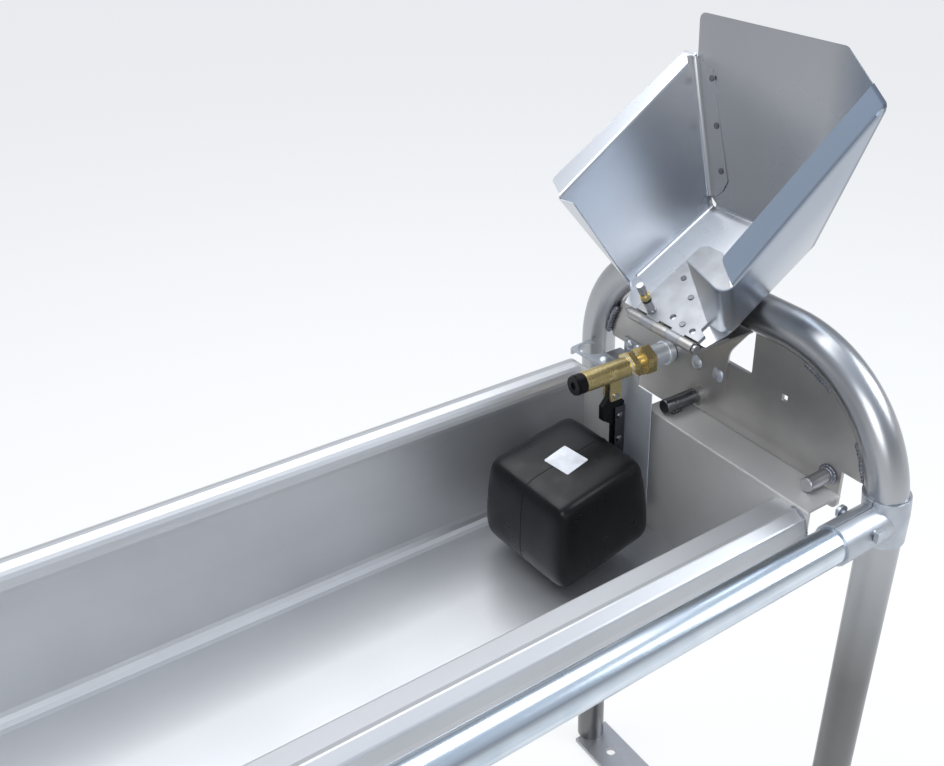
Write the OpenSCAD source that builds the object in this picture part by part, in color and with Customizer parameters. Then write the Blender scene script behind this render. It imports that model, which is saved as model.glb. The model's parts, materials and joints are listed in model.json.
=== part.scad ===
// Tipping water trough for cattle: a stainless trough that swings on two pins between
// two tubular end frames, with a float valve under a hinged sheet hood at the right end.
// The origin is on the floor, midway between the four foot holes. X runs along the
// trough, +Y is the back, +Z is up. The trough is level and the hood stands open.

/* [Stand] */
// Distance between the two end frames, centre to centre
stand_l = 1500; // [1100:10:3000]
// Distance between the front and the back leg of one end frame
leg_gap = 521.4; // [500:1:620]
// Rise of the centre line of the hoop's top above the trough's rims
hoop_rise = 166; // [163:1:198]
// Outer diameter of the hoop tube
hoop_d = 48.3; // [42:0.1:49]
// Wall of the hoop tube
hoop_wall = 3.2; // [2:0.1:5]
// Bend radius of the hoop's centre line
hoop_bend = 165; // [155:1:170]
// Width of a foot bar
foot_w = 70; // [60:1:90]
// Thickness of a foot bar
foot_t = 8; // [5:0.5:12]
// Diameter of a floor bolt hole
foot_hole_d = 18; // [10:0.5:22]
// Distance from a leg's axis to the floor bolt hole beside it
foot_hole_in = 62.4; // [50:1:90]

/* [End plates] */
// Thickness of the half-moon end plate
plate_t = 5; // [4:0.5:8]
// Drop of the end plate's lower edge below the trough's rims
plate_drop = 30; // [27:1:62]
// Width of the notch in the end plate's top
notch_w = 87; // [70:1:100]
// Rise of the notch's lower edge above the trough's rims
notch_rise = 81; // [76:1:93]
// Side of the square bolt hole
square_hole = 9; // [7:0.5:12]

/* [Guard rail] */
// Outer diameter of the guard rail
rail_d = 42.4; // [33:0.1:44]
// Wall of the guard rail
rail_wall = 3.2; // [2:0.1:5]
// Drop of the guard rail's axis below the trough's rims
rail_drop = 1; // [-8:1:7]
// Thickness of the pressed rail clamp
clamp_t = 3; // [2:0.5:4]
// Reach of the clamp's sleeve from the leg's axis
clamp_reach = 88; // [75:1:110]

/* [Trough] */
// Thickness of the trough's sheet
sheet = 1.5; // [1:0.1:2.5]
// Distance from an end frame's centre plane to the trough's end wall
end_gap = 64.5; // [62:0.5:70]
// Height of the top of the trough's rims
rim_h = 842; // [780:1:900]
// Inner depth of the trough below the rims
trough_depth = 186; // [160:1:200]
// Radius of the back rim's roll
roll_r = 24; // [18:0.5:26]
// Inset of the floor's front edge from the front rim's inner edge
front_slope = 82; // [40:1:110]
// Diameter of a tipping pin
pivot_d = 20; // [16:0.5:24]
// Distance of the tipping pins behind the middle of the stand
pivot_y = 47; // [35:1:60]
// Diameter of a front stop pin
stop_d = 18; // [14:0.5:22]

/* [Hood] */
// Slope of the open hood's floor
hood_tilt = 28.2; // [27.5:0.1:32]
// Thickness of the hood's sheet
hood_sheet = 1.5; // [1:0.1:2]
// Length of the hood's floor from the near fold to the end fold
hood_floor_l = 153; // [120:1:170]
// Width of the hood's floor between its folds
hood_floor_w = 171; // [150:1:190]
// Width across the hood's rims, inside
hood_mouth_w = 252; // [220:1:262]
// Diameter of the hinge pin
hinge_pin_d = 7; // [5:0.5:9]

/* [Float valve] */
// Distance of the valve's axis behind the middle of the stand
valve_y = 104.3; // [100:0.5:110]
// Rise of the valve's axis above the trough's rims
valve_rise = 51; // [46:0.5:56]
// Outer diameter of the valve's body
valve_d = 27; // [24:0.5:30]
// Bore of the inlet thread
inlet_d = 15; // [12:0.5:17]
// Side of the float's base
float_w = 159; // [120:1:160]
// Height of the float
float_h = 132; // [90:1:134]

/* [Fits] */
// Radial clearance of a pin that turns in its hole
fit = 0.1; // [0.05:0.01:0.1]
// Gap between faces that pass each other
gap = 0.3; // [0.2:0.05:0.5]

/* [Hidden] */
$fn = 48;

// Heights that follow the trough's rims
hoop_h = rim_h + hoop_rise;
plate_low = rim_h - plate_drop;
notch_low = rim_h + notch_rise;
rail_h = rim_h - rail_drop;
valve_h = rim_h + valve_rise;

leg_y = leg_gap / 2;
bend_y = leg_y - hoop_bend;
bend_z = hoop_h - hoop_bend;
hoop_r = hoop_d / 2;
right_x = stand_l / 2;
// Weld gap between the plate's round edge and the tube
weld_gap = 2.9;
plate_r = hoop_bend - hoop_r - weld_gap;
plate_side = leg_y - 64;
lobe_low = rim_h + 24;
lobe_high = lobe_low + 10;
plate_face = plate_t / 2;
square_y = 161.3 - leg_y;
square_z = rim_h + 75.4;

// Trough section: front rim edge, back rim edge and walls
front_rim_y = 51.5 - leg_y;
front_edge_y = front_rim_y + 53;
back_rim_y = leg_y - 4;
roll_y = back_rim_y - roll_r;
roll_z = rim_h - roll_r;
back_wall_y = roll_y - roll_r;
floor_z = rim_h - trough_depth;
end_x = end_gap + sheet;
pan_l = stand_l - 2 * end_x;
flange_edge = 12;
flange_back = 76.3;

pivot_z = rim_h + pivot_d / 2 + 1.1;
stop_y = 82.3 - leg_y;
stop_z = rim_h + stop_d / 2 + 1.2;
stop_reach = 40;
pivot_reach = 60;
collar_t = 7;

// Latch
latch_t = 3;
latch_z = rim_h + 11;
latch_bolt_x = 45;
latch_bolt_y = 190;
latch_bolt_d = 8;
shelf_t = 3;
shelf_front = 159;
shelf_bolt_y = [168, 186];
shelf_bolt_z = latch_z + 14;

// Rail clamp
clamp_low = rail_h - 27;
clamp_high = rail_h + 31;
clamp_bolt_x = -44;
clamp_bolt_z = rail_h + 10;

// Trough bends
lip_drop = 42;
bend_in = 16;

// Hinge axis from the end frame's centre plane, its height and its width in Y
hinge_x = 100;
hinge_z = rim_h + 146.5;
hinge_front = -39.7;
hinge_l = 111;
knuckles = 5;
knuckle_l = hinge_l / knuckles;
knuckle_r = hinge_pin_d / 2 + 3;
leaf_t = 3;
hood_mid_y = 29.8;
shelf_top = hinge_z - knuckle_r;
bracket_t = 3;
bracket_bolt_y = [9.9, 49.3];
bracket_bolt_z = rim_h + 58.3;
bracket_low = bracket_bolt_z - 16.3;
bracket_side = 14.6;
bracket_flare = 34;
flare_low = shelf_top - 44;
leaf_bolt_y = [-20, 16, 66];
leaf_bolt_x = 62;

// Hood in its own frame: u along the floor from the hinge axis, w up from the floor
fold_u = 34;
far_u = fold_u + hood_floor_l;
rim_near = [17.6, 140.5];
rim_far = [far_u + 80.8, 159.7];
lip_far = [far_u + 102.7, 202.6];
flare = atan((hood_mouth_w - hood_floor_w) / 2 / ((rim_near[1] + rim_far[1]) / 2));
end_lean = atan((rim_far[0] - far_u) / rim_far[1]);

floor_edge = knuckle_r + 2;
leaf_reach = 128;
leaf_front = -29;
leaf_rivets = [[18.5, -3], [54.4, 19], [73, 50.8]];
leaf_holes = [[17, -21.4], [21.2, 16.4]];
// Spring catch: its place on the hood's floor and its pin
catch_u = 15;
catch_y = 48.3;
catch_pin_d = 5;
catch_tip = 10;

// Valve
valve_front = 163;
cap_l = 15;
body_end = 78;
hex_end = 40;
lever_x = 100;
lever_z = valve_h - 32;
lever_pin_d = 5;
thread_d = 20.95;
neck_d = 18;
// Guard plate: its sheet, its widths and its edges
guard_t = 1.5;
guard_w = 64;
tongue_w = 37;
guard_side = valve_y + 12;
guard_low = floor_z + 24;
guard_high = valve_h - 17;
fork_in = 5;
fork_half = 8.5;
piston_r = 8;
piston_travel = 9;
tip_r = 3;
tip_up = 19;
arm_half = 4;
strip_bolt_z = [lever_z - 34, lever_z - 70];
strip_bolt_in = 9;
strip_t = 3;
strip_x = lever_x + 7;
float_x = 193.6;
float_y = 76.5;
float_z = lever_z - 111.3;
float_tilt = 5;
float_turn = 5.8;
float_top = 137;
top_round = 22;
low_round = 18;
float_bolt_z = lever_z - 106;

steel = "lightsteelblue";
dark_steel = "slategray";
zinc = "gainsboro";
brass = "goldenrod";

// Places its children at the right end frame, x = 0 in the hoop's centre plane
module right_end() translate([right_x, 0, 0]) children();

// The same at the left end, mirrored
module left_end() mirror([1, 0, 0]) right_end() children();

// Turns a flat outline in (Y, Z) into a plate from x0 with thickness t towards +X
module plate_x(x0, t) translate([x0, 0, 0]) rotate([90, 0, 90]) linear_extrude(t) children();

// Cylinder along X from x0 to x1
module bar_x(x0, x1, r, y, z) translate([x0, y, z]) rotate([0, 90, 0]) cylinder(r = r, h = x1 - x0);

// Cylinder along Y from y0 to y1
module bar_y(y0, y1, r, x, z) translate([x, y0, z]) rotate([-90, 0, 0]) cylinder(r = r, h = y1 - y0);

// Cylinder along Z from z0 to z1
module bar_z(z0, z1, r, x, y) translate([x, y, z0]) cylinder(r = r, h = z1 - z0);

// Box between two corners
module block(a, b) translate(a) cube(b - a);

// Points of an arc about c, from angle a0 to a1, in n steps
function arc(c, r, a0, a1, n) =
  [for (i = [0:n]) let (a = a0 + (a1 - a0) * i / n) c + r * [cos(a), sin(a)]];

function unit(v) = v / norm(v);

// Rounds the corner b between a and c with radius r
function corner(a, b, c, r, n = 5) =
  let (u = unit(a - b), w = unit(c - b), half = acos(u * w) / 2,
       centre = b + unit(u + w) * r / sin(half), d = r / tan(half),
       s = b + u * d - centre, sweep = 180 - 2 * half,
       turn = cross(s, b + w * d - centre) > 0 ? 1 : -1)
  [for (i = [0:n]) let (t = turn * sweep * i / n)
    centre + [s[0] * cos(t) - s[1] * sin(t), s[0] * sin(t) + s[1] * cos(t)]];

// An open path whose inner corners are rounded with the radii in the list r
function bent_path(p, r, n = 4) =
  [p[0], for (i = [1:len(p) - 2]) each corner(p[i - 1], p[i], p[i + 1], r[i], n), p[len(p) - 1]];

// A closed outline with all corners rounded
function soft_ring(p, r, n = 4) =
  let (m = len(p)) [for (i = [0:m - 1]) each corner(p[(i + m - 1) % m], p[i], p[(i + 1) % m], r, n)];

function left_of(v) = [-v[1], v[0]];

// A path shifted to its left by t
function shift(p, t) =
  let (m = len(p))
  [for (i = [0:m - 1])
    let (a = i > 0 ? unit(left_of(p[i] - p[i - 1])) : unit(left_of(p[1] - p[0])),
         b = i < m - 1 ? unit(left_of(p[i + 1] - p[i])) : a)
    p[i] + t * (a + b) / (1 + a * b)];

function reverse(p) = [for (i = [len(p) - 1:-1:0]) p[i]];

// Section of a sheet of thickness t along a path
module sheet_section(p, t) polygon(concat(p, reverse(shift(p, t))));

// Hexagon across flats f, extruded along X
module hex_x(x0, x1, f, y, z) translate([x0, y, z]) rotate([0, 90, 0])
  cylinder(d = f / cos(30), h = x1 - x0, $fn = 6);

// One hoop's solid along its centre line with tube radius r
module hoop_core(r) {
  for (side = [-1, 1]) {
    translate([0, side * leg_y, foot_t]) cylinder(r = r, h = bend_z - foot_t);
    mirror([0, side < 0 ? 1 : 0, 0])
      translate([0, bend_y, bend_z]) rotate([90, 0, 90])
        rotate_extrude(angle = 90) translate([hoop_bend, 0]) circle(r = r);
  }
  translate([0, -bend_y, hoop_h]) rotate([-90, 0, 0]) cylinder(r = r, h = 2 * bend_y);
}

module hoop() color(steel) difference() {
  hoop_core(hoop_r);
  hoop_core(hoop_r - hoop_wall);
}

module foot_bar() color(steel) difference() {
  translate([-foot_w / 2, -leg_y, 0]) cube([foot_w, leg_gap, foot_t]);
  for (side = [-1, 1]) bar_z(-1, foot_t + 1, foot_hole_d / 2, 0, side * (leg_y - foot_hole_in));
}

// Right half of the end plate's outline, from the lower middle round to the notch
function plate_half() =
  let (c = [bend_y, bend_z], a0 = asin((lobe_high - bend_z) / plate_r))
  concat([[0, plate_low]],
    corner([0, plate_low], [plate_side, plate_low], [plate_side, lobe_low], 8),
    [[plate_side, lobe_low], [leg_y - 36, lobe_low]],
    arc(c, plate_r, a0, 90, 16),
    [[notch_w / 2, bend_z + plate_r]],
    corner([notch_w / 2, bend_z + plate_r], [notch_w / 2, notch_low], [0, notch_low], 5));

module plate_outline() {
  half = plate_half();
  polygon(concat(half, reverse([for (q = half) [-q[0], q[1]]])));
}

// Weld beads that join the plate's edge to the tube, on both faces
module weld_beads() {
  bead_r = 2.2;
  for (face = [-1, 1], side = [-1, 1], run = [[62, 12], [14, 14]])
    mirror([0, side < 0 ? 1 : 0, 0])
      translate([face * (plate_face + 0.1), bend_y, bend_z]) rotate([90, 0, 90])
        rotate([0, 0, run[0]]) rotate_extrude(angle = run[1])
          translate([plate_r + 0.6, 0]) circle(r = bead_r);
}

module end_plate(fitted) color(dark_steel) difference() {
  union() {
    plate_x(-plate_face, plate_t) plate_outline();
    weld_beads();
  }
  bar_x(-plate_t, plate_t, pivot_d / 2 + fit, pivot_y, pivot_z);
  bar_x(-plate_t, plate_t, stop_d / 2 + fit, stop_y, stop_z);
  square_cut();
  if (fitted) {
    for (y = bracket_bolt_y) bar_x(-plate_t, plate_t, 4 + fit, y, bracket_bolt_z);
    bar_x(-plate_t, plate_t, 10.5 + fit, valve_y, valve_h);
    for (y = shelf_bolt_y) bar_x(-plate_t, plate_t, 4 + fit, y, shelf_bolt_z);
  }
}

module square_cut() translate([0, square_y, square_z])
  cube([2 * plate_t, square_hole, square_hole], center = true);

// Front stop pin with its welded ring, which the trough's flange rises against
module stop_pin() color(steel) {
  difference() {
    bar_x(-stop_reach, plate_face + 1, stop_d / 2, stop_y, stop_z);
    translate([-stop_reach, stop_y, stop_z]) rotate([0, 90, 0]) rotate_extrude()
      polygon([[stop_d / 2 - 2, -1], [stop_d / 2 + 1, -1], [stop_d / 2 + 1, 2]]);
  }
  translate([-plate_face - 4, stop_y, stop_z]) rotate([0, 90, 0]) rotate_extrude()
    polygon([[stop_d / 2 - 1, 0], [stop_d / 2 + 0.5, 0], [stop_d / 2 + 3.5, 4], [stop_d / 2 - 1, 4]]);
}

// Tube of the guard rail between the two front legs
module guard_rail() color(zinc) difference() {
  bar_x(-right_x + hoop_r + 4, right_x - hoop_r - 4, rail_d / 2, -leg_y, rail_h);
  bar_x(-right_x, right_x, rail_d / 2 - rail_wall, -leg_y, rail_h);
  right_end() clamp_hole();
  left_end() clamp_hole();
}

// Hole for the bolt through the clamp and the rail
module clamp_hole() bar_y(-leg_y - 40, -leg_y + 40, 4 + fit, clamp_bolt_x, clamp_bolt_z);

// Pressed clamp before it is split: a band round the leg and a sleeve round the rail
module clamp_form() difference() {
  union() {
    intersection() {
      hoop_core(hoop_r + clamp_t);
      block([-60, -leg_y - 60, clamp_low], [60, -leg_y + 60, clamp_high]);
    }
    bar_x(-clamp_reach, 0, rail_d / 2 + clamp_t, -leg_y, rail_h);
  }
  hoop_core(hoop_r + fit);
  bar_x(-clamp_reach - 1, 1, rail_d / 2 + fit, -leg_y, rail_h);
  clamp_hole();
}

module rail_clamp() color(zinc) intersection() {
  clamp_form();
  block([-clamp_reach - 1, -leg_y - 60, clamp_low - 1], [60, -leg_y - 0.5, clamp_high + 30]);
}

module clamp_strap() color(zinc) intersection() {
  clamp_form();
  block([-clamp_reach - 1, -leg_y + 0.5, clamp_low - 1], [60, -leg_y + 60, clamp_high + 30]);
}

// Bolt with a square nut through the clamp's two halves and the rail between them
module clamp_bolt() color(zinc) {
  reach = rail_d / 2 + clamp_t;
  bar_y(-leg_y - reach - 5, -leg_y + reach + 7, 4, clamp_bolt_x, clamp_bolt_z);
  bar_y(-leg_y + reach, -leg_y + reach + 4, 8, clamp_bolt_x, clamp_bolt_z);
  translate([clamp_bolt_x, -leg_y - reach - 3, clamp_bolt_z]) cube([13, 6, 13], center = true);
}

module clamp_bolts() {
  right_end() clamp_bolt();
  left_end() clamp_bolt();
}

// Inner face of the trough's sheet from the front lip over the floor to the back roll
function trough_path() = concat(
  bent_path([[front_rim_y + 10, rim_h - lip_drop], [front_rim_y, rim_h - lip_drop],
    [front_rim_y, rim_h - 26], [front_rim_y + 5, rim_h - 11], [front_rim_y + 19.5, rim_h - 4],
    [front_rim_y + 26.5, rim_h - 6], [front_edge_y, rim_h - 9], [front_edge_y + front_slope, floor_z],
    [back_wall_y, floor_z], [back_wall_y, rim_h - roll_r - 20]],
    [0, 3, 5, 5, 4, 6, 4, bend_in, bend_in, 0]),
  arc([roll_y, roll_z], roll_r, 180, -60, 20));

// Sheet of the trough, whose thickness lies outside its inner face
module trough_pan() color(steel)
  plate_x(-pan_l / 2, pan_l) sheet_section(trough_path(), -sheet);

// End wall that closes the trough's section, with a flange out towards the end plate
module trough_end() color(steel) {
  wall = concat(
    [[front_rim_y, rim_h - 40], [front_rim_y, rim_h]],
    [[back_rim_y - roll_r, rim_h]],
    arc([roll_y, roll_z], roll_r, 90, -60, 10),
    [[back_wall_y + sheet, roll_z - roll_r + 4], [back_wall_y + sheet, floor_z - sheet],
     [front_edge_y + front_slope - sheet, floor_z - sheet], [front_edge_y - sheet, rim_h - 40]]);
  plate_x(-end_x, sheet) polygon(wall);
  block([-end_x, front_rim_y + 1.5, rim_h - sheet], [-flange_edge, flange_back, rim_h]);
}

// Tipping pin with the weld that holds it on the trough's flange
module pivot_pin() color(dark_steel) {
  difference() {
    bar_x(-pivot_reach, plate_face + 6, pivot_d / 2, pivot_y, pivot_z);
    translate([-pivot_reach, pivot_y, pivot_z]) rotate([0, 90, 0]) rotate_extrude()
      polygon([[pivot_d / 2 - 2, -1], [pivot_d / 2 + 1, -1], [pivot_d / 2 + 1, 2]]);
  }
  difference() {
    block([-50, pivot_y - 8, rim_h], [-34, pivot_y + 8, pivot_z]);
    for (side = [-1, 1]) bar_x(-51, -33, 6, pivot_y + side * 10.5, rim_h + 7);
  }
}

// Ring welded to the end plate round the tipping pin
module pivot_collar() color(dark_steel)
  translate([-plate_face - collar_t, pivot_y, pivot_z]) rotate([0, 90, 0]) difference() {
    cylinder(r = pivot_d / 2 + 5, h = collar_t);
    translate([0, 0, -1]) cylinder(r = pivot_d / 2 + fit, h = collar_t + 2);
  }

// Angle bolted to the end plate that carries the latch
module latch_shelf() color(steel) difference() {
  union() {
    block([-60, shelf_front, latch_z - shelf_t], [-plate_face, latch_bolt_y + 18, latch_z]);
    block([-plate_face - shelf_t, shelf_front, latch_z - shelf_t],
      [-plate_face, plate_side - 1, shelf_bolt_z + 10]);
  }
  bar_z(latch_z - 10, latch_z + 10, latch_bolt_d / 2 + fit, -latch_bolt_x, latch_bolt_y);
  for (y = shelf_bolt_y) bar_x(-20, 0, 4 + fit, y, shelf_bolt_z);
}

// Finger plate that swivels over the end of the back rim
module latch_plate() color(zinc) difference() {
  union() {
    translate([0, 0, latch_z]) linear_extrude(latch_t) difference() {
      polygon(soft_ring([[-63, 245], [-27, 249.6], [-22, 218], [-32, 205], [-32, 176], [-58, 176],
        [-60, 205], [-63, 218]], 4));
      translate([-40, 226]) circle(r = 19);
    }
    translate([-40, 248, latch_z - 8]) rotate([0, 0, 7.3]) translate([-22, -2, 0]) cube([30, 3, 8.5]);
  }
  bar_z(latch_z - 10, latch_z + 10, latch_bolt_d / 2 + fit, -latch_bolt_x, latch_bolt_y);
}

// Dome-headed bolt on which the latch turns, with its nut below the shelf
module latch_bolt() color(zinc) {
  bar_z(latch_z - shelf_t - 12, latch_z + latch_t + 1, latch_bolt_d / 2, -latch_bolt_x, latch_bolt_y);
  translate([-latch_bolt_x, latch_bolt_y, latch_z + latch_t]) dome(10, 5);
  translate([-latch_bolt_x, latch_bolt_y, latch_z - shelf_t - 7]) cylinder(d = 15, h = 7, $fn = 6);
}

// Dome of radius r and height h on the plane z = 0
module dome(r, h) {
  ball = (r * r + h * h) / (2 * h);
  rotate_extrude() intersection() {
    translate([0, h - ball]) circle(r = ball, $fn = 96);
    square([r + 1, h + 1]);
  }
}

// Pressed bracket: a leg flat on the end plate that flares into the shelf under the hinge
module hinge_bracket() color(dark_steel) difference() {
  near = bracket_bolt_y[0] - bracket_side;
  far = bracket_bolt_y[1] + bracket_side;
  wide_near = near - bracket_flare;
  wide_far = far + bracket_flare;
  union() {
    plate_x(-plate_face - bracket_t, bracket_t) polygon(concat(
      corner([far, shelf_top], [far, bracket_low], [near, bracket_low], 6),
      corner([far, bracket_low], [near, bracket_low], [near, shelf_top], 6),
      corner([near, bracket_low], [near, flare_low], [wide_near, shelf_top], 30),
      [[wide_near, shelf_top], [wide_far, shelf_top]],
      corner([wide_far, shelf_top], [far, flare_low], [far, bracket_low], 30)));
    block([-hinge_x + 8, wide_near, shelf_top - bracket_t], [-plate_face, wide_far, shelf_top]);
  }
  for (y = bracket_bolt_y) bar_x(-20, 0, 4 + fit, y, bracket_bolt_z);
  for (y = leaf_bolt_y) bar_z(shelf_top - 10, shelf_top + 10, 3 + fit, -leaf_bolt_x, y);
}

// Bolts that hold the hinge bracket, the hinge leaf and the latch shelf
module bracket_bolts() color(zinc) {
  for (q = [[bracket_bolt_y[0], bracket_bolt_z, bracket_t], [bracket_bolt_y[1], bracket_bolt_z, bracket_t],
            [shelf_bolt_y[0], shelf_bolt_z, shelf_t], [shelf_bolt_y[1], shelf_bolt_z, shelf_t]]) {
    bar_x(-plate_face - q[2] - 1, plate_face + 10, 4, q[0], q[1]);
    translate([-plate_face - q[2], q[0], q[1]]) rotate([0, -90, 0]) dome(q[0] > 100 ? 8 : 10, 4.5);
    hex_x(plate_face, plate_face + 6.5, 13, q[0], q[1]);
  }
  for (y = leaf_bolt_y) {
    bar_z(shelf_top - bracket_t - 7, shelf_top + leaf_t + 1, 3, -leaf_bolt_x, y);
    translate([-leaf_bolt_x, y, shelf_top + leaf_t]) dome(6, 3);
    translate([-leaf_bolt_x, y, shelf_top - bracket_t - 5]) cylinder(d = 11, h = 5, $fn = 6);
  }
}

// Knuckles numbered from the front end, those in the list, about the origin along +Y
module knuckle_set(list) difference() {
  for (i = list) translate([0, hinge_front + i * knuckle_l + gap / 2, 0]) rotate([-90, 0, 0])
    cylinder(r = knuckle_r, h = knuckle_l - gap);
  translate([0, hinge_front - 1, 0]) rotate([-90, 0, 0])
    cylinder(r = hinge_pin_d / 2 + fit, h = hinge_l + 2);
}

module hinge_base_leaf() color(dark_steel) translate([-hinge_x, 0, hinge_z]) difference() {
  union() {
    knuckle_set([0, 2, 4]);
    difference() {
      block([1, hinge_front + gap / 2, -knuckle_r],
        [56, hinge_front + hinge_l - gap / 2, -knuckle_r + leaf_t]);
      for (i = [1, 3]) block([0, hinge_front + i * knuckle_l - gap / 2, -knuckle_r - 1],
        [knuckle_r + 1.5, hinge_front + (i + 1) * knuckle_l + gap / 2, 0]);
    }
  }
  for (y = leaf_bolt_y) translate([hinge_x - leaf_bolt_x, y, -20]) cylinder(r = 3 + fit, h = 40);
}

module hinge_pin() color(steel) translate([-hinge_x, 0, hinge_z]) {
  bar_y(hinge_front - 3, hinge_front + hinge_l + 3, hinge_pin_d / 2, 0, 0);
  for (y = [hinge_front - 5, hinge_front + hinge_l + 1.5]) bar_y(y, y + 3.5, hinge_pin_d / 2 + 1.8, 0, 0);
}

// Places hood pieces: +X runs up the open hood's floor from the hinge, +Z is its inside
module hood_frame() translate([-hinge_x, 0, hinge_z]) rotate([0, -hood_tilt, 0]) children();

floor_half = hood_floor_w / 2;
mouth_half = hood_mouth_w / 2;
// Inner radius of the hood's folds, and the step where two stretches of its sheet join
fold_r = 5;
seam = 0.1;

function across(a, d) = unit(a - (a * d) * d);

// Point at u and w on the plane through three points
function on_plane(a, b, c, u, w) =
  let (n = cross(b - a, c - a)) [u, a[1] - (n[0] * (u - a[0]) + n[2] * (w - a[2])) / n[1], w];

// Corners of each side on its inner face, as if both lay at -Y: floor near and far, rim near and far.
// The front side flares more than the back and starts lower
front_low = [[fold_u, -floor_half - 5.5, 0], [far_u, 1.5 - floor_half, 0]];
front_far = [rim_far[0], -mouth_half - 30.8, rim_far[1]];
front_near = on_plane(front_low[0], front_low[1], front_far, rim_near[0], rim_near[1] - 32.5);
front_side = concat(front_low, [front_near, front_far]);
back_side = [[fold_u, -floor_half, 0], [far_u, -floor_half, 0],
  [rim_near[0], -floor_half - rim_near[1] * tan(flare), rim_near[1]],
  [rim_far[0], -floor_half - rim_far[1] * tan(flare), rim_far[1]]];

// Sheet folded along the line from p in direction d, with legs towards a and b. Its inner
// face is the one given, and side is 1 or -1 for the side that the thickness lies on
module folded(p, d, a, b, len_a, len_b, r, l, side, inset = seam) {
  ex = across(a, d);
  ey = cross(d, ex);
  way = across(b, d);
  path = bent_path([[len_a, 0], [0, 0], len_b * [way * ex, way * ey]], [0, r, 0], 8);
  place(p, ex, ey, d) linear_extrude(l)
    polygon(concat(shift(path, side * inset), reverse(shift(path, side * (hood_sheet - inset)))));
}

// Moves its children to the point p, with their axes along x, y and z
module place(p, x, y, z)
  multmatrix([[x[0], y[0], z[0], p[0]], [x[1], y[1], z[1], p[1]], [x[2], y[2], z[2], p[2]],
    [0, 0, 0, 1]]) children();

// Extrudes an outline in (u, w) along Y through the whole hood
module through_y() rotate([90, 0, 0]) linear_extrude(400, center = true) children();

// Outline in (u, w) that cuts a side at its near end, its rim and the hood's end
module side_outline(q) {
  near_cut = fold_u + 15;
  half_sheet = hood_sheet / 2;
  end_mid = [cos(end_lean), -sin(end_lean)] * half_sheet;
  low_far = [far_u + end_mid[0] - (end_mid[1] + half_sheet) * tan(end_lean), -half_sheet];
  rim_end = [q[3][0], q[3][2]] + end_mid;
  polygon(concat([[q[2][0] + 15, q[2][2] - 5], [near_cut, 0], [near_cut, -4], [far_u - 4, -4]],
    corner([far_u - 20, -half_sheet], low_far, rim_end, fold_r + half_sheet, 6), [rim_end - [0, 5]]));
}

// Back wall with most of the floor, and the front wall with the rest
module hood_walls() {
  intersection() {
    plate_x(0, 320) sheet_section(bent_path([[30 - floor_half, 0], [floor_half, 0],
      [floor_half + 200 * tan(flare), 200]], [0, fold_r, 0], 6), -hood_sheet);
    through_y() side_outline(back_side);
  }
  intersection() {
    fold_way = unit(front_side[1] - front_side[0]);
    folded(front_side[0] - 40 * fold_way, fold_way, [0, 1, 0], front_side[3] - front_side[1],
      45, 220, fold_r, 300, 1, seam / 2);
    through_y() side_outline(front_side);
  }
}

// Near return, rim flange and tab of one side. The flange leaves the rim towards way, and
// free is the outline in (Y, w) that leaves the return's free edge
module hood_side(q, way, flange_w, flange_start, roll, free) {
  rise = unit(q[2] - q[0]);
  along = unit(q[3] - q[2]);
  corner_way = unit(q[3] - q[1]);
  out = across(way, along);
  normal = cross(along, out);
  up = normal[2] > 0 ? 1 : -1;
  rim_l = norm(q[3] - q[2]);
  difference() {
    intersection() {
      folded(q[0] - 20 * rise, rise, [0.12, 1, 0], q[1] - q[0], 60, 21, roll, 220, -1);
      through_y() translate([-40, -0.9]) square([160, 200]);
      plate_x(-40, 160) polygon(free);
    }
    place(q[2], along, out, normal) {
      translate([-90, -90, up > 0 ? -0.7 : -99.3]) cube([200, 200, 100]);
      translate([flange_start, -20, up > 0 ? -5 : -55]) cube([60, 40, 60]);
    }
  }
  intersection() {
    folded(q[2] - 20 * along, along, way, q[1] - q[3], 45, 14, 4, rim_l + 60, -1);
    place(q[2], along, out, normal) translate([0, 0, -30]) linear_extrude(60)
      polygon(concat([[flange_start, -10]],
        corner([flange_start, -10], [flange_start, 2], [flange_start + 14, flange_w[0]], 4),
        corner([flange_start, 2], [flange_start + 14, flange_w[0]], [rim_l, flange_w[1]], 9, 8),
        [[rim_l + 40, flange_w[1] - 0.1], [rim_l + 40, -10]]));
    through_y() polygon([[-60, -60], [far_u - 60 * tan(end_lean), -60], [far_u + 0.6 / cos(end_lean), 0],
      [far_u + 0.6 / cos(end_lean) + 260 * tan(end_lean), 260], [-60, 260]]);
  }
  intersection() {
    folded(q[1] - [hood_sheet / cos(end_lean), 0, 0], corner_way, [0, 1, 0], q[0] - q[1],
      40, 12, 7, 200, 1);
    tab_prism(q);
  }
}

// Places flat pieces on the inside of the hood's end: +X stays in Y, +Y climbs the end
module end_frame() translate([far_u, 0, 0]) rotate([0, end_lean, 0]) rotate([90, 0, 90]) children();

// Distance up the sloping end for a height above the floor, and a side's distance from the middle there
function up_end(w) = w / cos(end_lean);
function half_at(q, s) = -q[1][1] - (q[3][1] - q[1][1]) * s / up_end(q[3][2]);

rim_s = up_end(rim_far[1]);
lip_s = up_end(lip_far[1]);
lip_front = 28 - mouth_half;
rivet_s = rim_s * [0.27, 0.57, 0.87];
rivet_in = 25;
tab_in = 27;
tab_high = rim_s - 13;

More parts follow.
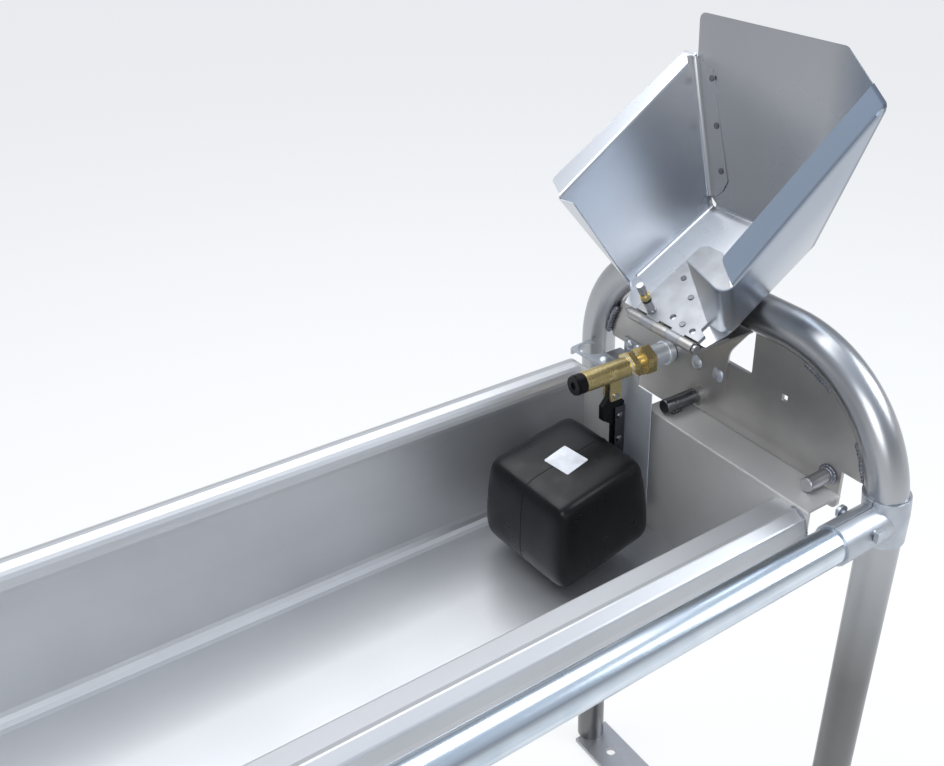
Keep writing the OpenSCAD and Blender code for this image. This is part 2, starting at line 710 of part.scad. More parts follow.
// End of the hood: its lip stands above the rims and its front corner is cut off
module hood_end() intersection() {
  folded([far_u, -180, 0], [0, 1, 0], [-1, 0, 0], [sin(end_lean), 0, cos(end_lean)],
    14, lip_s + 5, fold_r, 360, 1);
  end_frame() linear_extrude(60, center = true) polygon(concat(
    [[-floor_half + 7, -20], [-floor_half + 7, 4], [-half_at(front_side, 12) - 0.7, 12]],
    corner([-half_at(front_side, 12) - 0.7, 12], [-half_at(front_side, rim_s) - 0.7, rim_s],
      [lip_front, lip_s], 4),
    corner([-half_at(front_side, rim_s), rim_s], [lip_front, lip_s], [mouth_half, lip_s], 12),
    corner([lip_front, lip_s], [mouth_half, lip_s], [mouth_half, rim_s], 9),
    [[mouth_half, rim_s], [half_at(back_side, rim_s - 14) + 0.7, rim_s - 14],
     [half_at(back_side, 12) + 0.7, 12],
     [floor_half - 7, 4], [floor_half - 7, -20]]));
}

// Outline that leaves a side wall's tab, riveted on the inside of the end
module tab_prism(q) end_frame() translate([0, 0, -30]) linear_extrude(40)
  polygon([[-half_at(q, 12) - 4, 12], [-half_at(q, 12) + 10, 14], [-half_at(q, 24) + 24, 24],
    [-half_at(q, 40) + 35, 38],
    [-half_at(q, tab_high) + tab_in, tab_high], [-half_at(q, tab_high + 10) - 4, tab_high + 12]]);

module hood_shell() color(steel) hood_frame() translate([0, hood_mid_y, 0]) difference() {
  union() {
    hood_walls();
    translate([0, 0, seam - hood_sheet]) linear_extrude(hood_sheet - 2 * seam) polygon([
      [floor_edge, 5 - floor_half], [floor_edge, floor_half - 21.5], [fold_u - 8, floor_half - 14],
      [fold_u, floor_half + 0.7],
      [fold_u + 13, floor_half + 0.7], [fold_u + 18, floor_half - 7], [fold_u + 18, 7 - floor_half],
      [fold_u + 13, -floor_half - 5.5], [fold_u + 2, -floor_half - 4.5]]);
    hood_side(front_side, [lip_far[0], lip_front, lip_far[1]] - front_side[3], [27, 25], 14, 13,
      [[-200, -5], [29 - floor_half, -5], [28 - floor_half, 8], [25 - mouth_half, rim_near[1] + 5.5],
       [-200, 210]]);
    mirror([0, 1, 0]) hood_side(back_side, [0, -1, 0], [33, 19], 5, 4,
      [[-200, -5], [3 - floor_half, -5], [28 + back_side[2][1], rim_near[1]],
       [27 + back_side[2][1], 160], [-200, 160]]);
    hood_end();
  }
  rivet_places() translate([0, 0, -10]) cylinder(r = 2 + fit, h = 20, $fn = 24);
  translate([catch_u, catch_y - hood_mid_y, -10]) cylinder(r = catch_pin_d / 2 + gap, h = 20);
  for (q = leaf_rivets) translate([q[0], q[1] - hood_mid_y, -10]) cylinder(r = 2 + fit, h = 20, $fn = 24);
}

module rivet_places() for (s = rivet_s) {
  end_frame() translate([rivet_in - half_at(front_side, s), s, 0]) children();
  end_frame() translate([half_at(back_side, s) - rivet_in, s, 0]) children();
}

// Rivet of radius 2 through two sheets, whose lower face lies at z = 0
module rivet(stack) {
  cylinder(r = 2, h = stack, $fn = 24);
  for (z = [-1.2, stack]) translate([0, 0, z]) cylinder(r = 3.8, h = 1.2, $fn = 24);
}

// Rivets of the tabs and of the hinge leaf
module hood_rivets() color(dark_steel) hood_frame() {
  translate([0, hood_mid_y, 0]) rivet_places() translate([0, 0, -hood_sheet]) rivet(2 * hood_sheet);
  for (q = leaf_rivets) translate([q[0], q[1], -hood_sheet]) rivet(hood_sheet + leaf_t);
}

// Leaf on the hood's floor, which carries two of the hinge's knuckles
module hinge_hood_leaf() color(zinc) hood_frame() difference() {
  union() {
    knuckle_set([1, 3]);
    difference() {
      linear_extrude(leaf_t) polygon([[4, hinge_front + gap], [4, hinge_front + hinge_l - gap],
        [leaf_reach - 6, hinge_front + hinge_l - gap], [leaf_reach, hinge_front + hinge_l - 8],
        [leaf_reach, hinge_front + hinge_l - 34], [leaf_reach - 50, leaf_front], [24, leaf_front],
        [20, hinge_front + gap]]);
      for (i = [0, 2, 4]) translate([0, hinge_front + i * knuckle_l - gap / 2, -1])
        cube([floor_edge, knuckle_l + gap, leaf_t + 2]);
    }
  }
  translate([0, hinge_front - 1, 0]) rotate([-90, 0, 0])
    cylinder(r = hinge_pin_d / 2 + fit, h = hinge_l + 2);
  translate([catch_u, catch_y, -5]) cylinder(r = catch_pin_d / 2 + gap, h = 20);
  for (q = leaf_rivets) translate([q[0], q[1], -5]) cylinder(r = 2 + fit, h = 20, $fn = 24);
  for (q = leaf_holes) translate([q[0], q[1], -5]) cylinder(r = 4, h = 20, $fn = 32);
}

// Places the pieces of the spring catch on the hood's leaf
module catch_frame() hood_frame() translate([catch_u, catch_y, leaf_t]) children();

module catch_barrel() color(steel) catch_frame() difference() {
  union() {
    cylinder(r = 6.5, h = 3, $fn = 6);
    cylinder(r = 5.5, h = 18);
  }
  translate([0, 0, -1]) cylinder(r = catch_pin_d / 2 + fit, h = 30);
  translate([0, 0, 4]) cylinder(r = 4, h = 30);
}

module catch_lock_ring() color("black") catch_frame() translate([0, 0, 18]) difference() {
  cylinder(r = 6, h = 4);
  translate([0, 0, -1]) cylinder(r = 4, h = 6);
}

module catch_nut() color(brass) catch_frame() translate([0, 0, 22]) difference() {
  union() {
    cylinder(r = 7, h = 6, $fn = 6);
    cylinder(r = 5.6, h = 8.5);
  }
  translate([0, 0, -1]) cylinder(r = catch_pin_d / 2 + fit, h = 30);
}

// Fluted knob and the spring-loaded pin below it, in one piece
module catch_plunger() color(steel) catch_frame() {
  translate([0, 0, -catch_tip]) cylinder(r = catch_pin_d / 2, h = catch_tip + 34);
  translate([0, 0, 5]) cylinder(r = 3.6, h = 2);
  difference() {
    translate([0, 0, 31]) cylinder(r = 5, h = 13);
    for (i = [0:9]) rotate([0, 0, 36 * i]) translate([5.4, 0, 33]) cylinder(r = 0.9, h = 14, $fn = 16);
  }
}

// Spring of the catch, drawn as the sleeve that its turns fill
module catch_spring() color(steel) catch_frame() translate([0, 0, 14.5]) difference() {
  cylinder(r = 3.7, h = 7.4);
  translate([0, 0, -1]) cylinder(r = catch_pin_d / 2 + 0.4, h = 12);
}

// Steel sleeve between the valve and the end plate
module coupling_sleeve() color(zinc) difference() {
  union() {
    bar_x(-hex_end, -plate_face - 1, 15, valve_y, valve_h);
    bar_x(-hex_end + 26, -hex_end + 29, 16.5, valve_y, valve_h);
  }
  bar_x(-hex_end - 1, 0, thread_d / 2 + fit, valve_y, valve_h);
}

// Threaded pipe through the end plate that takes the water in
module inlet_nipple() color(zinc) difference() {
  union() {
    bar_x(-28, plate_face + 30, thread_d / 2, valve_y, valve_h);
    hex_x(plate_face, plate_face + 7, 30, valve_y, valve_h);
  }
  bar_x(-29, plate_face + 31, inlet_d / 2, valve_y, valve_h);
}

// Brass body: bore for the piston, slot for the lever, neck, hex and fork
module valve_body() color(brass) difference() {
  union() {
    bar_x(-valve_front + cap_l, -body_end, valve_d / 2, valve_y, valve_h);
    bar_x(-body_end, -hex_end - 1, neck_d / 2, valve_y, valve_h);
    bar_x(-hex_end - 1, -hex_end + 10, thread_d / 2, valve_y, valve_h);
    hex_x(-hex_end - 15, -hex_end - gap, 36, valve_y, valve_h);
    difference() {
      block([-lever_x - 8, valve_y - fork_half, lever_z - 7], [-lever_x + 9, valve_y + fork_half, valve_h]);
      block([-lever_x - 9, valve_y - fork_in, lever_z - 8], [-lever_x + 10, valve_y + fork_in, valve_h]);
    }
  }
  bar_x(-valve_front + cap_l - 1, -body_end - 1, piston_r + fit, valve_y, valve_h);
  bar_x(-body_end - 2, -body_end + 9, 7, valve_y, valve_h);
  bar_x(-body_end + 8, 0, 5, valve_y, valve_h);
  block([-lever_x - 9, valve_y - fork_in, valve_h - 20], [-lever_x + 17, valve_y + fork_in, valve_h - 2]);
  bar_y(valve_y - 20, valve_y + 20, lever_pin_d / 2 + fit, -lever_x, lever_z);
}

// Thin nut that clamps the guard plate against the body's shoulder
module valve_locknut() color(brass) difference() {
  hex_x(-body_end + guard_t, -body_end + guard_t + 9, 34, valve_y, valve_h);
  bar_x(-body_end, -hex_end, neck_d / 2 + fit, valve_y, valve_h);
}

module valve_nozzle() color("ivory") difference() {
  bar_x(-body_end - 2, -body_end + 8, 6.9, valve_y, valve_h);
  bar_x(-body_end - 3, -body_end + 9, 3, valve_y, valve_h);
}

// Piston with two lugs between which the lever's tip moves it
module valve_piston() color("ivory") {
  bar_x(-lever_x - 26, -body_end - 2 - piston_travel - 3, piston_r, valve_y, valve_h);
  for (x = [-lever_x - tip_r - gap - 4, -lever_x + tip_r + gap])
    block([x, valve_y - fork_in + 0.5, valve_h - 15], [x + 4, valve_y + fork_in - 0.5, valve_h - 4]);
}

module piston_seal() color("black")
  bar_x(-body_end - 2 - piston_travel - 3, -body_end - 2 - piston_travel - gap, 6, valve_y, valve_h);

module valve_cap() color("black") difference() {
  union() {
    bar_x(-valve_front, -valve_front + cap_l, valve_d / 2 - 1, valve_y, valve_h);
    bar_x(-valve_front + 3, -valve_front + cap_l - 3, valve_d / 2, valve_y, valve_h);
  }
  bar_x(-valve_front - 1, -valve_front + 3, 5, valve_y, valve_h);
}

module lever_pin() color(steel) {
  bar_y(valve_y - fork_half - 0.6, valve_y + fork_half + 0.6, lever_pin_d / 2, -lever_x, lever_z);
  for (y = [valve_y - fork_half - 2, valve_y + fork_half])
    bar_y(y, y + 2, lever_pin_d / 2 + 1.5, -lever_x, lever_z);
}

// Black lever: a short arm up to the piston and a blade down to the float
module float_lever() color("black") difference() {
  union() {
    bar_y(valve_y - arm_half, valve_y + arm_half, 7, -lever_x, lever_z);
    block([-lever_x - 2, valve_y - arm_half, lever_z],
      [-lever_x + 2, valve_y + arm_half, lever_z + tip_up]);
    bar_y(valve_y - arm_half, valve_y + arm_half, tip_r, -lever_x, lever_z + tip_up);
    translate([0, valve_y + arm_half, 0]) rotate([90, 0, 0]) linear_extrude(2 * arm_half) polygon([
      [-lever_x - 6, lever_z], [-lever_x + 6, lever_z], [-lever_x + 18, lever_z - 16],
      [-lever_x + 18, lever_z - 90], [-lever_x, lever_z - 90], [-lever_x, lever_z - 46],
      [-lever_x - 18, lever_z - 34], [-lever_x - 18, lever_z - 14]]);
  }
  bar_y(valve_y - 20, valve_y + 20, lever_pin_d / 2 + fit, -lever_x, lever_z);
  for (z = strip_bolt_z) bar_y(valve_y - 20, valve_y + 20, 3 + fit, -lever_x + strip_bolt_in, z);
}

// Steel strip that joins the lever to the float, with a tab turned against the float
module float_strip() color(steel) difference() {
  y1 = valve_y - arm_half;
  y0 = y1 - strip_t;
  union() {
    block([-lever_x + 1, y0, lever_z - 90], [-lever_x + 17, y1, lever_z - 20]);
    block([-strip_x, y0, lever_z - 128], [-lever_x + 17, y1, lever_z - 84]);
    block([-strip_x, float_y - 14, lever_z - 128], [-strip_x + strip_t, y1, lever_z - 84]);
  }
  for (z = strip_bolt_z) bar_y(valve_y - 20, valve_y + 20, 3 + fit, -lever_x + strip_bolt_in, z);
  bar_x(-lever_x - 20, -lever_x, 4 + fit, float_y, float_bolt_z);
}

// Places the float: its middle at the origin, tilted with its lever's side up
module float_frame()
  translate([-float_x, float_y, float_z]) rotate([0, 0, float_turn]) rotate([0, -float_tilt, 0]) children();

// Moulded float, wide at its base and drawn in towards its top, with a socket for its bolt
module float_body() color("black") difference() {
  float_frame() hull() {
    for (x = [-1, 1], y = [-1, 1]) {
      translate([x * (float_top / 2 - top_round), y * (float_top / 2 - top_round), float_h / 2 - top_round])
        sphere(r = top_round, $fn = 28);
      for (q = [[0, float_h / 9], [2, 0]])
        translate([x * (float_w / 2 - low_round - q[0]), y * (float_w / 2 - low_round - q[0]),
          low_round + q[1] - float_h / 2])
          sphere(r = low_round, $fn = 28);
    }
  }
  block([-strip_x - gap, valve_y - 80, float_z - 90], [0, valve_y + 60, float_z + 90]);
  bar_x(-strip_x - 19, -strip_x + 1, 4 + fit, float_y, float_bolt_z);
}

// Bolt that holds the float on the strip, and the two that hold the strip on the lever
module float_screw() color(zinc) {
  bar_x(-strip_x - 18, -strip_x + strip_t + 6, 4, float_y, float_bolt_z);
  hex_x(-strip_x + strip_t, -strip_x + strip_t + 5, 13, float_y, float_bolt_z);
  for (z = strip_bolt_z) {
    bar_y(valve_y - arm_half - 5, valve_y + arm_half + 3, 3, -lever_x + strip_bolt_in, z);
    translate([-lever_x + strip_bolt_in, valve_y - arm_half - strip_t, z]) rotate([90, 0, 0]) dome(5.5, 3);
    translate([-lever_x + strip_bolt_in, valve_y + arm_half + 4, z]) rotate([90, 0, 0])
      cylinder(d = 11, h = 4, $fn = 6);
  }
}

// Sheet hung from the valve's neck that keeps muzzles off the float and its lever
module valve_bracket() color(steel)
  plate_x(-body_end, guard_t) difference() {
    union() {
      translate([guard_side - guard_w, guard_low]) square([guard_w, guard_high - guard_low]);
      translate([guard_side - tongue_w, guard_high - 6]) square([tongue_w, 20]);
      translate([valve_y, valve_h]) circle(r = valve_d / 2 + 1);
    }
    translate([valve_y, valve_h]) circle(r = neck_d / 2 + fit);
  }

right_end() hoop();  // hoop_right
left_end() hoop();  // hoop_left
right_end() foot_bar();  // foot_bar_right
left_end() foot_bar();  // foot_bar_left
right_end() end_plate(true);  // end_plate_right
left_end() end_plate(false);  // end_plate_left
right_end() stop_pin();  // stop_pin_right
left_end() stop_pin();  // stop_pin_left
guard_rail();
right_end() rail_clamp();  // rail_clamp_right
left_end() rail_clamp();  // rail_clamp_left
right_end() clamp_strap();  // clamp_strap_right
left_end() clamp_strap();  // clamp_strap_left
clamp_bolts();
trough_pan();
right_end() trough_end();  // trough_end_right
left_end() trough_end();  // trough_end_left
right_end() pivot_pin();  // pivot_pin_right
left_end() pivot_pin();  // pivot_pin_left
right_end() pivot_collar();  // pivot_collar_right
left_end() pivot_collar();  // pivot_collar_left
right_end() latch_shelf();
right_end() latch_plate();
right_end() latch_bolt();
right_end() hinge_bracket();
right_end() bracket_bolts();
right_end() hinge_base_leaf();
right_end() hinge_pin();
right_end() hood_shell();
right_end() hood_rivets();
right_end() hinge_hood_leaf();
right_end() catch_barrel();
right_end() catch_lock_ring();
right_end() catch_nut();
right_end() catch_plunger();
right_end() catch_spring();
right_end() coupling_sleeve();
right_end() inlet_nipple();
right_end() valve_body();
right_end() valve_locknut();
right_end() valve_nozzle();
right_end() valve_piston();
right_end() piston_seal();
right_end() valve_cap();
right_end() lever_pin();
right_end() float_lever();
right_end() float_strip();
right_end() float_body();
right_end() float_screw();
right_end() valve_bracket();
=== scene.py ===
# %% [markdown]
# # A tipping water trough, dressed in Blender
# The solids come from the CAD model: stainless sheet, tube, a brass valve and a black float.
# Here they get their finishes, and the forms that the solids leave out are added: weld beads,
# a softer float with its parting ridge, and its blank label.

# %% Load the frame
import json
import math
import random

import bmesh
import bpy
from mathutils import Euler, Matrix, Vector


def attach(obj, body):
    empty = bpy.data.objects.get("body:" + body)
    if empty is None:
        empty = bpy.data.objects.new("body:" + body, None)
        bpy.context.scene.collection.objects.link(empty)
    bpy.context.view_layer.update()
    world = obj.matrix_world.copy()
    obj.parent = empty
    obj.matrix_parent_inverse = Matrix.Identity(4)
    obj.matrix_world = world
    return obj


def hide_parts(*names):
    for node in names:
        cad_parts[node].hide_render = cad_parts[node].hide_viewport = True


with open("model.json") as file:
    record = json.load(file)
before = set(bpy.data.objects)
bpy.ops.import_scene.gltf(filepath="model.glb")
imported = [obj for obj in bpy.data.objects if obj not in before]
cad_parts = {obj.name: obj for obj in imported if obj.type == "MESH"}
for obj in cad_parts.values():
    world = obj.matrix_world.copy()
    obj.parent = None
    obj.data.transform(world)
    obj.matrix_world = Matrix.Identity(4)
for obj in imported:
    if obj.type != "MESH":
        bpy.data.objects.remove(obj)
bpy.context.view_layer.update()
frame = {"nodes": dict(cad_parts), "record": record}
nodes = frame["nodes"]
bpy.ops.object.select_all(action="DESELECT")

# %% [markdown]
# ## Camera
# The photograph looks down along the trough from its front left. Its lens was worked out in
# pixels from the straight edges, and its middle isn't the lens's middle, so the camera is
# shifted a little to frame it the same.

# %% Camera
IMAGE_W, IMAGE_H = 944, 766
FOCAL_PX = 1016.4
LENS_CENTRE_PX = (583.8, 425.1)
SENSOR = 36
CAMERA_PLACE = (-0.0711, -0.7760, 1.5327)
CAMERA_TURN_DEG = (57.61, -0.62, -37.11)

camera_data = bpy.data.cameras.new("camera")
camera_data.sensor_width = SENSOR
camera_data.lens = FOCAL_PX * SENSOR / IMAGE_W
camera_data.shift_x = (IMAGE_W / 2 - LENS_CENTRE_PX[0]) / IMAGE_W
camera_data.shift_y = (LENS_CENTRE_PX[1] - IMAGE_H / 2) / IMAGE_W
camera = bpy.data.objects.new("camera", camera_data)
camera.location = CAMERA_PLACE
camera.rotation_euler = Euler([math.radians(a) for a in CAMERA_TURN_DEG])
bpy.context.scene.collection.objects.link(camera)
bpy.context.scene.camera = camera
bpy.context.scene.view_settings.view_transform = "Standard"
print("lens", round(camera_data.lens, 2))

# %% [markdown]
# ## Floor and light
# Bright steel shows what stands round it. A pale floor and a soft room give the sheet its slow
# changes of tone: the room is light at eye level, darkest a little above it, and light and
# bluish overhead. Three large lamps draw the long highlights on the rolled rims and tubes. The
# photograph's ground is almost white. The floor reaches that by glowing a little for the camera,
# mirrors and glass only, so it throws no extra light on dull surfaces and still takes the
# trough's shadow.

# %% Floor
FLOOR_SIZE = 40
FLOOR_DROP = 0.0005
GLOW_SHARE = 0.72

bpy.ops.mesh.primitive_plane_add(size=FLOOR_SIZE, location=(0, 0, -FLOOR_DROP))
floor = bpy.context.object
floor.name = "studio_floor"


def node(tree, kind, inputs=(), **settings):
    """Adds a shader node, sets it, and fills its inputs with numbers or other nodes' outputs."""
    made = tree.nodes.new(kind)
    for key, value in settings.items():
        setattr(made, key, value)
    for key, value in dict(inputs).items():
        if isinstance(value, bpy.types.NodeSocket):
            tree.links.new(value, made.inputs[key])
        else:
            made.inputs[key].default_value = value
    return made


def rgb(r, g, b):
    return (r, g, b, 1)


floor_material = bpy.data.materials.new("pale_floor")
floor_material.use_nodes = True
floor_tree = floor_material.node_tree
floor_paint = floor_tree.nodes["Principled BSDF"]
floor_paint.inputs["Base Color"].default_value = rgb(0.88, 0.89, 0.90)
floor_paint.inputs["Roughness"].default_value = 0.9
rays = node(floor_tree, "ShaderNodeLightPath")
seen = node(floor_tree, "ShaderNodeMath",
            {0: rays.outputs["Is Camera Ray"], 1: rays.outputs["Is Glossy Ray"]}, operation="ADD")
seen = node(floor_tree, "ShaderNodeMath",
            {0: seen.outputs[0], 1: rays.outputs["Is Transmission Ray"]},
            operation="ADD", use_clamp=True)
share = node(floor_tree, "ShaderNodeMath", {0: seen.outputs[0], 1: GLOW_SHARE}, operation="MULTIPLY")
glow = node(floor_tree, "ShaderNodeEmission", {"Color": rgb(0.97, 0.975, 0.98), "Strength": 1.0})
floor_look = node(floor_tree, "ShaderNodeMixShader",
                  {0: share.outputs[0], 1: floor_paint.outputs[0], 2: glow.outputs[0]})
floor_tree.links.new(floor_look.outputs[0], floor_tree.nodes["Material Output"].inputs["Surface"])
floor.data.materials.append(floor_material)

# %% Room
# Where a tone stands: 0 is eye level and below, 1 is straight up.
ROOM_SIDE, ROOM_LOW, ROOM_ABOVE = rgb(0.80, 0.80, 0.80), rgb(0.34, 0.36, 0.40), rgb(0.66, 0.74, 0.86)
LOW_AT, ABOVE_AT = 0.28, 0.9
ROOM_STRENGTH = 0.85

world = bpy.data.worlds.new("room")
bpy.context.scene.world = world
world.use_nodes = True
room = world.node_tree
direction = node(room, "ShaderNodeTexCoord")
height = node(room, "ShaderNodeSeparateXYZ", {0: direction.outputs["Generated"]})
tones = node(room, "ShaderNodeValToRGB", {0: height.outputs["Z"]})
ramp = tones.color_ramp
ramp.elements[0].position = 0.0
ramp.elements[0].color = ROOM_SIDE
ramp.elements[1].position = ABOVE_AT
ramp.elements[1].color = ROOM_ABOVE
ramp.elements.new(LOW_AT).color = ROOM_LOW
room.links.new(tones.outputs[0], room.nodes["Background"].inputs["Color"])
room.nodes["Background"].inputs["Strength"].default_value = ROOM_STRENGTH


# %% Lamps
def lamp(name, place, target, size, watts, colour=(1, 1, 1)):
    """A rectangular lamp at a place, turned so that it shines on the target."""
    data = bpy.data.lights.new(name, "AREA")
    data.shape = "RECTANGLE"
    data.size, data.size_y = size
    data.energy = watts
    data.color = colour
    made = bpy.data.objects.new(name, data)
    made.location = place
    made.rotation_euler = (Vector(target) - Vector(place)).to_track_quat("-Z", "Y").to_euler()
    bpy.context.scene.collection.objects.link(made)


lamp("overhead_lamp", (0.2, 0.9, 3.4), (0.2, 0.1, 0.8), (3.2, 2.2), 78)
lamp("front_lamp", (-1.8, -2.6, 2.6), (0.3, 0, 0.8), (1.8, 1.8), 45, (0.96, 0.98, 1))
lamp("right_lamp", (2.3, -1.2, 2.4), (0.6, 0, 0.9), (1.3, 1.3), 34, (0.94, 0.97, 1))

# %% [markdown]
# ## Finishes
# Rolled sheet is never one grey. Under a raking light it has streaks along the rolling
# direction, slow clouds where it was handled, and small dark specks. One node group makes all
# three and is set differently for each metal.


# %% Streaks, clouds and specks
def group(name, inputs, outputs):
    """A shader node group with the inputs and outputs listed, and its two end nodes."""
    made = bpy.data.node_groups.new(name, "ShaderNodeTree")
    for label, kind, default in inputs:
        socket = made.interface.new_socket(name=label, in_out="INPUT", socket_type="NodeSocket" + kind)
        socket.default_value = default
    for label, kind in outputs:
        made.interface.new_socket(name=label, in_out="OUTPUT", socket_type="NodeSocket" + kind)
    return made, made.nodes.new("NodeGroupInput"), made.nodes.new("NodeGroupOutput")


def maths(tree, operation, a, b):
    return node(tree, "ShaderNodeMath", {0: a, 1: b}, operation=operation).outputs[0]


def spread(tree, value, low_in, high_in, low_out=0.0, high_out=1.0, **settings):
    """Stretches a value from its old limits to new ones."""
    limits = {"Value": value, "From Min": low_in, "From Max": high_in,
              "To Min": low_out, "To Max": high_out}
    return node(tree, "ShaderNodeMapRange", limits, **settings).outputs["Result"]


def noise(tree, vector, scale, detail=3.0, rough=0.5):
    return node(tree, "ShaderNodeTexNoise",
                {"Vector": vector, "Scale": scale, "Detail": detail, "Roughness": rough}).outputs["Fac"]


NOISE_LOW, NOISE_HIGH = 0.25, 0.75
SPECK_SCALE, SPECK_FROM, SPECK_FULL = 95.0, 0.70, 0.76
CLOUD_HEIGHT = 0.3

skin, skin_in, skin_out = group(
    "metal_skin",
    [("Grain Along", "Vector", (1, 1, 1)), ("Light", "Color", rgb(0.6, 0.6, 0.6)),
     ("Dark", "Color", rgb(0.4, 0.4, 0.4)), ("Clouds", "Float", 0.5), ("Streaks", "Float", 0.3),
     ("Specks", "Float", 0.5), ("Cloud Scale", "Float", 7.0), ("Smooth", "Float", 0.25),
     ("Rough", "Float", 0.4)],
    [("Color", "Color"), ("Roughness", "Float"), ("Height", "Float")])
place = node(skin, "ShaderNodeTexCoord").outputs["Object"]
stretched = node(skin, "ShaderNodeVectorMath", {0: place, 1: skin_in.outputs["Grain Along"]},
                 operation="MULTIPLY").outputs[0]
cloud_noise = noise(skin, place, skin_in.outputs["Cloud Scale"], 3, 0.4)
cloud = spread(skin, cloud_noise, NOISE_LOW, NOISE_HIGH, clamp=False)
streak = spread(skin, noise(skin, stretched, 1.0, 3, 0.5), NOISE_LOW, NOISE_HIGH, clamp=False)
speck_noise = noise(skin, place, SPECK_SCALE, 2, 0.7)
speck_mask = spread(skin, speck_noise, SPECK_FROM, SPECK_FULL)
speck = maths(skin, "MULTIPLY", speck_mask, skin_in.outputs["Specks"])
cloud_part = maths(skin, "MULTIPLY", cloud, skin_in.outputs["Clouds"])
streak_part = maths(skin, "MULTIPLY", streak, skin_in.outputs["Streaks"])
tone = maths(skin, "SUBTRACT", maths(skin, "ADD", cloud_part, streak_part), speck)
tint = node(skin, "ShaderNodeMix", {0: tone, 6: skin_in.outputs["Dark"], 7: skin_in.outputs["Light"]},
            data_type="RGBA", clamp_factor=True)
skin.links.new(tint.outputs[2], skin_out.inputs["Color"])
mixed = maths(skin, "ADD", maths(skin, "MULTIPLY", streak, 0.5), maths(skin, "MULTIPLY", cloud, 0.5))
rough = spread(skin, mixed, 0.0, 1.0, skin_in.outputs["Rough"], skin_in.outputs["Smooth"])
skin.links.new(rough, skin_out.inputs["Roughness"])
height = maths(skin, "ADD", streak_part, maths(skin, "MULTIPLY", cloud, CLOUD_HEIGHT))
skin.links.new(height, skin_out.inputs["Height"])


# %% Metals
SKIN_DEPTH = 0.001
EDGE_SAMPLES = 4


def blank_material(name):
    """A new material with its node tree and its main shader."""
    made = bpy.data.materials.new(name)
    made.use_nodes = True
    return made, made.node_tree, made.node_tree.nodes["Principled BSDF"]


def metal(name, light, dark, grain, clouds, streaks, smooth, rough, specks, bump=0.02,
          cloud_scale=7.0, metallic=1.0, edge=0.0):
    """A metal with the skin above; edge is the radius that its sharp folds seem rounded to."""
    made, tree, shader = blank_material(name)
    shader.inputs["Metallic"].default_value = metallic
    look = tree.nodes.new("ShaderNodeGroup")
    look.node_tree = skin
    values = {"Grain Along": grain, "Light": light, "Dark": dark, "Clouds": clouds, "Streaks": streaks,
              "Specks": specks, "Cloud Scale": cloud_scale, "Smooth": smooth, "Rough": rough}
    for key, value in values.items():
        look.inputs[key].default_value = value
    tree.links.new(look.outputs["Color"], shader.inputs["Base Color"])
    tree.links.new(look.outputs["Roughness"], shader.inputs["Roughness"])
    relief = node(tree, "ShaderNodeBump",
                  {"Height": look.outputs["Height"], "Strength": bump, "Distance": SKIN_DEPTH})
    if edge:
        softened = node(tree, "ShaderNodeBevel", {"Radius": edge}, samples=EDGE_SAMPLES)
        tree.links.new(softened.outputs["Normal"], relief.inputs["Normal"])
    tree.links.new(relief.outputs["Normal"], shader.inputs["Normal"])
    return made


pan_steel = metal(
    "pan_steel", light=rgb(0.61, 0.62, 0.635), dark=rgb(0.51, 0.515, 0.53), grain=(2, 40, 40),
    clouds=0.7, streaks=0.12, smooth=0.30, rough=0.40, specks=0.05,
    bump=0.0015, metallic=0.66)
wall_steel = metal(
    "wall_steel", light=rgb(0.74, 0.73, 0.715), dark=rgb(0.58, 0.57, 0.56), grain=(30, 30, 30),
    clouds=0.7, streaks=0.1, smooth=0.34, rough=0.44, specks=0.12,
    bump=0.0015, metallic=0.5, edge=0.005)
hood_steel = metal(
    "hood_steel", light=rgb(0.66, 0.68, 0.71), dark=rgb(0.57, 0.585, 0.61), grain=(5, 5, 5),
    clouds=0.8, streaks=0.1, smooth=0.26, rough=0.31, specks=0.05,
    bump=0.0)
tube_steel = metal(
    "tube_steel", light=rgb(0.50, 0.51, 0.53), dark=rgb(0.36, 0.37, 0.385), grain=(12, 12, 12),
    clouds=0.7, streaks=0.2, smooth=0.26, rough=0.36, specks=0.1,
    bump=0.003)
plate_steel = metal(
    "plate_steel", light=rgb(0.52, 0.505, 0.485), dark=rgb(0.30, 0.295, 0.29), grain=(25, 25, 25),
    clouds=0.8, streaks=0.15, smooth=0.36, rough=0.48, specks=0.25,
    bump=0.004, metallic=0.88, edge=0.0008)
bar_steel = metal(
    "bar_steel", light=rgb(0.50, 0.51, 0.53), dark=rgb(0.34, 0.34, 0.36), grain=(60, 60, 60),
    clouds=0.6, streaks=0.3, smooth=0.3, rough=0.42, specks=0.15,
    bump=0.006, edge=0.0008)
dark_steel = metal(
    "dark_steel", light=rgb(0.22, 0.225, 0.24), dark=rgb(0.11, 0.11, 0.12), grain=(60, 60, 60),
    clouds=0.6, streaks=0.3, smooth=0.22, rough=0.34, specks=0.2,
    bump=0.006, edge=0.0008)
zinc_steel = metal(
    "zinc_steel", light=rgb(0.56, 0.59, 0.63), dark=rgb(0.40, 0.43, 0.47), grain=(40, 40, 40),
    clouds=0.8, streaks=0.2, smooth=0.34, rough=0.48, specks=0.1,
    bump=0.006, cloud_scale=45.0, metallic=0.9, edge=0.0006)
leaf_zinc = metal(
    "leaf_zinc", light=rgb(0.40, 0.41, 0.43), dark=rgb(0.31, 0.32, 0.34), grain=(40, 40, 40),
    clouds=0.8, streaks=0.2, smooth=0.46, rough=0.58, specks=0.2,
    bump=0.006, cloud_scale=60.0, metallic=0.8, edge=0.0006)
